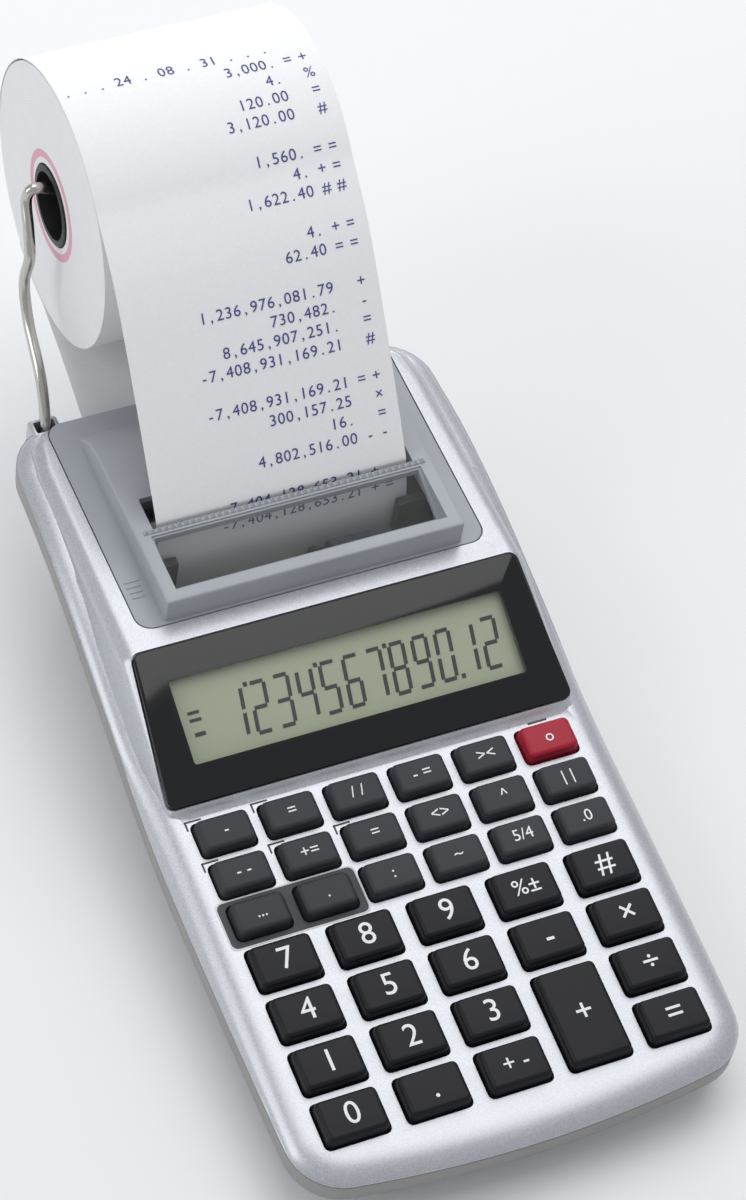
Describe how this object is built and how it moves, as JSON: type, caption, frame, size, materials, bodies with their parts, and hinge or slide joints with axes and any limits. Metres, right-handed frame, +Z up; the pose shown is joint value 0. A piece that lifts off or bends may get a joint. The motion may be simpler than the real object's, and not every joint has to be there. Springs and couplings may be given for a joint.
{
  "type": "desk printing calculator",
  "caption": "Desk calculator with a sloping keypad, a tilted display and a small printer fed from a paper roll held by two wire arms.",
  "frame": {"origin": "on the desk, under the middle of the whole calculator with its paper roll", "axes": "+X to the user's right, +Y from the front edge towards the paper roll, +Z up from the desk"},
  "size_m": [0.1014, 0.2458, 0.1061],
  "materials": {
    "case_silver": "silver paint with fine sparkle, satin",
    "case_grey": "moulded, fine texture",
    "foot_rubber": "matt",
    "mat_rubber": "moulded silicone",
    "board": "solder-resist green",
    "lens": "polished clear window with black border",
    "liquid_crystal": "satin polariser",
    "frosted_cover": "translucent, partly frosted",
    "black_plastic": "moulded",
    "roller_rubber": "ground",
    "steel": "drawn",
    "gear_plastic": "acetal",
    "ink_felt": "inked felt",
    "paper": "uncoated",
    "core_plastic": "moulded",
    "wire": "nickel-plated",
    "key_black": "satin",
    "key_grey": "satin",
    "key_red": "satin"
  },
  "bodies": {
    "case": {"upper_case": "case_silver", "lower_case": "case_grey", "display_window": "lens", "lcd_panel": "liquid_crystal", "foot_rear_left": "foot_rubber", "foot_rear_right": "foot_rubber", "key_mat": "mat_rubber", "main_board": "board", "printer_frame": "black_plastic", "printer_motor": "steel", "paper_strip": "paper"},
    "key_0": {"key_0": "key_black"},
    "key_point": {"key_point": "key_black"},
    "key_sign": {"key_sign": "key_black"},
    "key_plus": {"key_plus": "key_black"},
    "key_equals": {"key_equals": "key_black"},
    "key_1": {"key_1": "key_black"},
    "key_2": {"key_2": "key_black"},
    "key_3": {"key_3": "key_black"},
    "key_divide": {"key_divide": "key_black"},
    "key_4": {"key_4": "key_black"},
    "key_5": {"key_5": "key_black"},
    "key_6": {"key_6": "key_black"},
    "key_minus": {"key_minus": "key_black"},
    "key_multiply": {"key_multiply": "key_black"},
    "key_7": {"key_7": "key_black"},
    "key_8": {"key_8": "key_black"},
    "key_9": {"key_9": "key_black"},
    "key_percent": {"key_percent": "key_black"},
    "key_subtotal": {"key_subtotal": "key_black"},
    "key_mode": {"key_mode": "key_grey"},
    "key_start": {"key_start": "key_grey"},
    "key_time": {"key_time": "key_grey"},
    "key_wave": {"key_wave": "key_grey"},
    "key_round": {"key_round": "key_grey"},
    "key_decimals": {"key_decimals": "key_grey"},
    "key_recall": {"key_recall": "key_grey"},
    "key_memory_add": {"key_memory_add": "key_grey"},
    "key_memory_total": {"key_memory_total": "key_grey"},
    "key_exchange": {"key_exchange": "key_grey"},
    "key_feed": {"key_feed": "key_grey"},
    "key_print": {"key_print": "key_grey"},
    "key_cost": {"key_cost": "key_grey"},
    "key_sell": {"key_sell": "key_grey"},
    "key_margin": {"key_margin": "key_grey"},
    "key_rate": {"key_rate": "key_grey"},
    "key_convert": {"key_convert": "key_grey"},
    "key_on": {"key_on": "key_red"},
    "printer_cover": {"printer_cover": "frosted_cover"},
    "battery_cover": {"battery_cover": "case_grey"},
    "platen": {"platen_roller": "roller_rubber"},
    "wheel_shaft": {"wheel_shaft": "steel"},
    "motor_pinion": {"motor_pinion": "gear_plastic"},
    "print_carriage": {"print_carriage": "black_plastic"},
    "type_wheel": {"type_wheel": "black_plastic"},
    "ink_roller": {"ink_roller": "ink_felt"},
    "paper_roll": {"paper_roll": "paper", "roll_core": "core_plastic"},
    "holder_arm_left": {"holder_arm_left": "wire"},
    "holder_arm_right": {"holder_arm_right": "wire"}
  },
  "joints": [
    {"name": "cover_lift", "type": "slide", "parent": "case", "child": "printer_cover", "axis": [0, 0, 1], "range_m": [0, 0.0075]},
    {"name": "battery_cover_slide", "type": "slide", "parent": "case", "child": "battery_cover", "axis": [0, 1, 0], "range_m": [0, 0.06]},
    {"name": "platen_spin", "type": "hinge", "parent": "case", "child": "platen", "pos_m": [0, 0.0245, 0.027], "axis": [1, 0, 0], "continuous": true},
    {"name": "wheel_shaft_spin", "type": "hinge", "parent": "case", "child": "wheel_shaft", "pos_m": [0, 0.0155, 0.027], "axis": [1, 0, 0], "continuous": true},
    {"name": "motor_pinion_spin", "type": "hinge", "parent": "case", "child": "motor_pinion", "pos_m": [0, 0.03377, 0.03001], "axis": [1, 0, 0], "continuous": true},
    {"name": "carriage_slide", "type": "slide", "parent": "case", "child": "print_carriage", "axis": [1, 0, 0], "range_m": [-0.031, 0]},
    {"name": "type_wheel_spin", "type": "hinge", "parent": "print_carriage", "child": "type_wheel", "pos_m": [0, 0.0155, 0.027], "axis": [1, 0, 0], "continuous": true},
    {"name": "ink_roller_spin", "type": "hinge", "parent": "print_carriage", "child": "ink_roller", "pos_m": [0, 0.0115, 0.0345], "axis": [1, 0, 0], "continuous": true},
    {"name": "paper_roll_spin", "type": "hinge", "parent": "case", "child": "paper_roll", "pos_m": [0, 0.091, 0.0742], "axis": [1, 0, 0], "continuous": true},
    {"name": "holder_arm_left_spread", "type": "hinge", "parent": "case", "child": "holder_arm_left", "pos_m": [-0.0385, 0.0623, 0.0361], "axis": [0, -1, 0], "range_deg": [0, 8], "stiffness_Nm_per_rad": 0.6},
    {"name": "holder_arm_right_spread", "type": "hinge", "parent": "case", "child": "holder_arm_right", "pos_m": [0.0385, 0.0623, 0.0361], "axis": [0, 1, 0], "range_deg": [0, 8], "stiffness_Nm_per_rad": 0.6},
    {"name": "key_0_press", "type": "slide", "parent": "case", "child": "key_0", "axis": [0, 0.0998, -0.995], "range_m": [0, 0.0013], "stiffness_N_per_m": 400, "springref_m": -0.0002},
    {"name": "key_point_press", "type": "slide", "parent": "case", "child": "key_point", "axis": [0, 0.0998, -0.995], "range_m": [0, 0.0013], "stiffness_N_per_m": 400, "springref_m": -0.0002},
    {"name": "key_sign_press", "type": "slide", "parent": "case", "child": "key_sign", "axis": [0, 0.0998, -0.995], "range_m": [0, 0.0013], "stiffness_N_per_m": 400, "springref_m": -0.0002},
    {"name": "key_plus_press", "type": "slide", "parent": "case", "child": "key_plus", "axis": [0, 0.0998, -0.995], "range_m": [0, 0.0013], "stiffness_N_per_m": 400, "springref_m": -0.0002},
    {"name": "key_equals_press", "type": "slide", "parent": "case", "child": "key_equals", "axis": [0, 0.0998, -0.995], "range_m": [0, 0.0013], "stiffness_N_per_m": 400, "springref_m": -0.0002},
    {"name": "key_1_press", "type": "slide", "parent": "case", "child": "key_1", "axis": [0, 0.0998, -0.995], "range_m": [0, 0.0013], "stiffness_N_per_m": 400, "springref_m": -0.0002},
    {"name": "key_2_press", "type": "slide", "parent": "case", "child": "key_2", "axis": [0, 0.0998, -0.995], "range_m": [0, 0.0013], "stiffness_N_per_m": 400, "springref_m": -0.0002},
    {"name": "key_3_press", "type": "slide", "parent": "case", "child": "key_3", "axis": [0, 0.0998, -0.995], "range_m": [0, 0.0013], "stiffness_N_per_m": 400, "springref_m": -0.0002},
    {"name": "key_divide_press", "type": "slide", "parent": "case", "child": "key_divide", "axis": [0, 0.0998, -0.995], "range_m": [0, 0.0013], "stiffness_N_per_m": 400, "springref_m": -0.0002},
    {"name": "key_4_press", "type": "slide", "parent": "case", "child": "key_4", "axis": [0, 0.0998, -0.995], "range_m": [0, 0.0013], "stiffness_N_per_m": 400, "springref_m": -0.0002},
    {"name": "key_5_press", "type": "slide", "parent": "case", "child": "key_5", "axis": [0, 0.0998, -0.995], "range_m": [0, 0.0013], "stiffness_N_per_m": 400, "springref_m": -0.0002},
    {"name": "key_6_press", "type": "slide", "parent": "case", "child": "key_6", "axis": [0, 0.0998, -0.995], "range_m": [0, 0.0013], "stiffness_N_per_m": 400, "springref_m": -0.0002},
    {"name": "key_minus_press", "type": "slide", "parent": "case", "child": "key_minus", "axis": [0, 0.0998, -0.995], "range_m": [0, 0.0013], "stiffness_N_per_m": 400, "springref_m": -0.0002},
    {"name": "key_multiply_press", "type": "slide", "parent": "case", "child": "key_multiply", "axis": [0, 0.0998, -0.995], "range_m": [0, 0.0013], "stiffness_N_per_m": 400, "springref_m": -0.0002},
    {"name": "key_7_press", "type": "slide", "parent": "case", "child": "key_7", "axis": [0, 0.0998, -0.995], "range_m": [0, 0.0013], "stiffness_N_per_m": 400, "springref_m": -0.0002},
    {"name": "key_8_press", "type": "slide", "parent": "case", "child": "key_8", "axis": [0, 0.0998, -0.995], "range_m": [0, 0.0013], "stiffness_N_per_m": 400, "springref_m": -0.0002},
    {"name": "key_9_press", "type": "slide", "parent": "case", "child": "key_9", "axis": [0, 0.0998, -0.995], "range_m": [0, 0.0013], "stiffness_N_per_m": 400, "springref_m": -0.0002},
    {"name": "key_percent_press", "type": "slide", "parent": "case", "child": "key_percent", "axis": [0, 0.0998, -0.995], "range_m": [0, 0.0013], "stiffness_N_per_m": 400, "springref_m": -0.0002},
    {"name": "key_subtotal_press", "type": "slide", "parent": "case", "child": "key_subtotal", "axis": [0, 0.0998, -0.995], "range_m": [0, 0.0013], "stiffness_N_per_m": 400, "springref_m": -0.0002},
    {"name": "key_mode_press", "type": "slide", "parent": "case", "child": "key_mode", "axis": [0, 0.0998, -0.995], "range_m": [0, 0.0013], "stiffness_N_per_m": 400, "springref_m": -0.0002},
    {"name": "key_start_press", "type": "slide", "parent": "case", "child": "key_start", "axis": [0, 0.0998, -0.995], "range_m": [0, 0.0013], "stiffness_N_per_m": 400, "springref_m": -0.0002},
    {"name": "key_time_press", "type": "slide", "parent": "case", "child": "key_time", "axis": [0, 0.0998, -0.995], "range_m": [0, 0.0013], "stiffness_N_per_m": 400, "springref_m": -0.0002},
    {"name": "key_wave_press", "type": "slide", "parent": "case", "child": "key_wave", "axis": [0, 0.0998, -0.995], "range_m": [0, 0.0013], "stiffness_N_per_m": 400, "springref_m": -0.0002},
    {"name": "key_round_press", "type": "slide", "parent": "case", "child": "key_round", "axis": [0, 0.0998, -0.995], "range_m": [0, 0.0013], "stiffness_N_per_m": 400, "springref_m": -0.0002},
    {"name": "key_decimals_press", "type": "slide", "parent": "case", "child": "key_decimals", "axis": [0, 0.0998, -0.995], "range_m": [0, 0.0013], "stiffness_N_per_m": 400, "springref_m": -0.0002},
    {"name": "key_recall_press", "type": "slide", "parent": "case", "child": "key_recall", "axis": [0, 0.0998, -0.995], "range_m": [0, 0.0013], "stiffness_N_per_m": 400, "springref_m": -0.0002},
    {"name": "key_memory_add_press", "type": "slide", "parent": "case", "child": "key_memory_add", "axis": [0, 0.0998, -0.995], "range_m": [0, 0.0013], "stiffness_N_per_m": 400, "springref_m": -0.0002},
    {"name": "key_memory_total_press", "type": "slide", "parent": "case", "child": "key_memory_total", "axis": [0, 0.0998, -0.995], "range_m": [0, 0.0013], "stiffness_N_per_m": 400, "springref_m": -0.0002},
    {"name": "key_exchange_press", "type": "slide", "parent": "case", "child": "key_exchange", "axis": [0, 0.0998, -0.995], "range_m": [0, 0.0013], "stiffness_N_per_m": 400, "springref_m": -0.0002},
    {"name": "key_feed_press", "type": "slide", "parent": "case", "child": "key_feed", "axis": [0, 0.0998, -0.995], "range_m": [0, 0.0013], "stiffness_N_per_m": 400, "springref_m": -0.0002},
    {"name": "key_print_press", "type": "slide", "parent": "case", "child": "key_print", "axis": [0, 0.0998, -0.995], "range_m": [0, 0.0013], "stiffness_N_per_m": 400, "springref_m": -0.0002},
    {"name": "key_cost_press", "type": "slide", "parent": "case", "child": "key_cost", "axis": [0, 0.0998, -0.995], "range_m": [0, 0.0013], "stiffness_N_per_m": 400, "springref_m": -0.0002},
    {"name": "key_sell_press", "type": "slide", "parent": "case", "child": "key_sell", "axis": [0, 0.0998, -0.995], "range_m": [0, 0.0013], "stiffness_N_per_m": 400, "springref_m": -0.0002},
    {"name": "key_margin_press", "type": "slide", "parent": "case", "child": "key_margin", "axis": [0, 0.0998, -0.995], "range_m": [0, 0.0013], "stiffness_N_per_m": 400, "springref_m": -0.0002},
    {"name": "key_rate_press", "type": "slide", "parent": "case", "child": "key_rate", "axis": [0, 0.0998, -0.995], "range_m": [0, 0.0013], "stiffness_N_per_m": 400, "springref_m": -0.0002},
    {"name": "key_convert_press", "type": "slide", "parent": "case", "child": "key_convert", "axis": [0, 0.0998, -0.995], "range_m": [0, 0.0013], "stiffness_N_per_m": 400, "springref_m": -0.0002},
    {"name": "key_on_press", "type": "slide", "parent": "case", "child": "key_on", "axis": [0, 0.0998, -0.995], "range_m": [0, 0.0013], "stiffness_N_per_m": 400, "springref_m": -0.0002}
  ],
  "couplings": [
    {"joint": "wheel_shaft_spin", "follows": "platen_spin", "ratio": -2},
    {"joint": "motor_pinion_spin", "follows": "platen_spin", "ratio": -1.6},
    {"joint": "type_wheel_spin", "follows": "platen_spin", "ratio": -2},
    {"joint": "ink_roller_spin", "follows": "platen_spin", "ratio": 1.814}
  ]
}
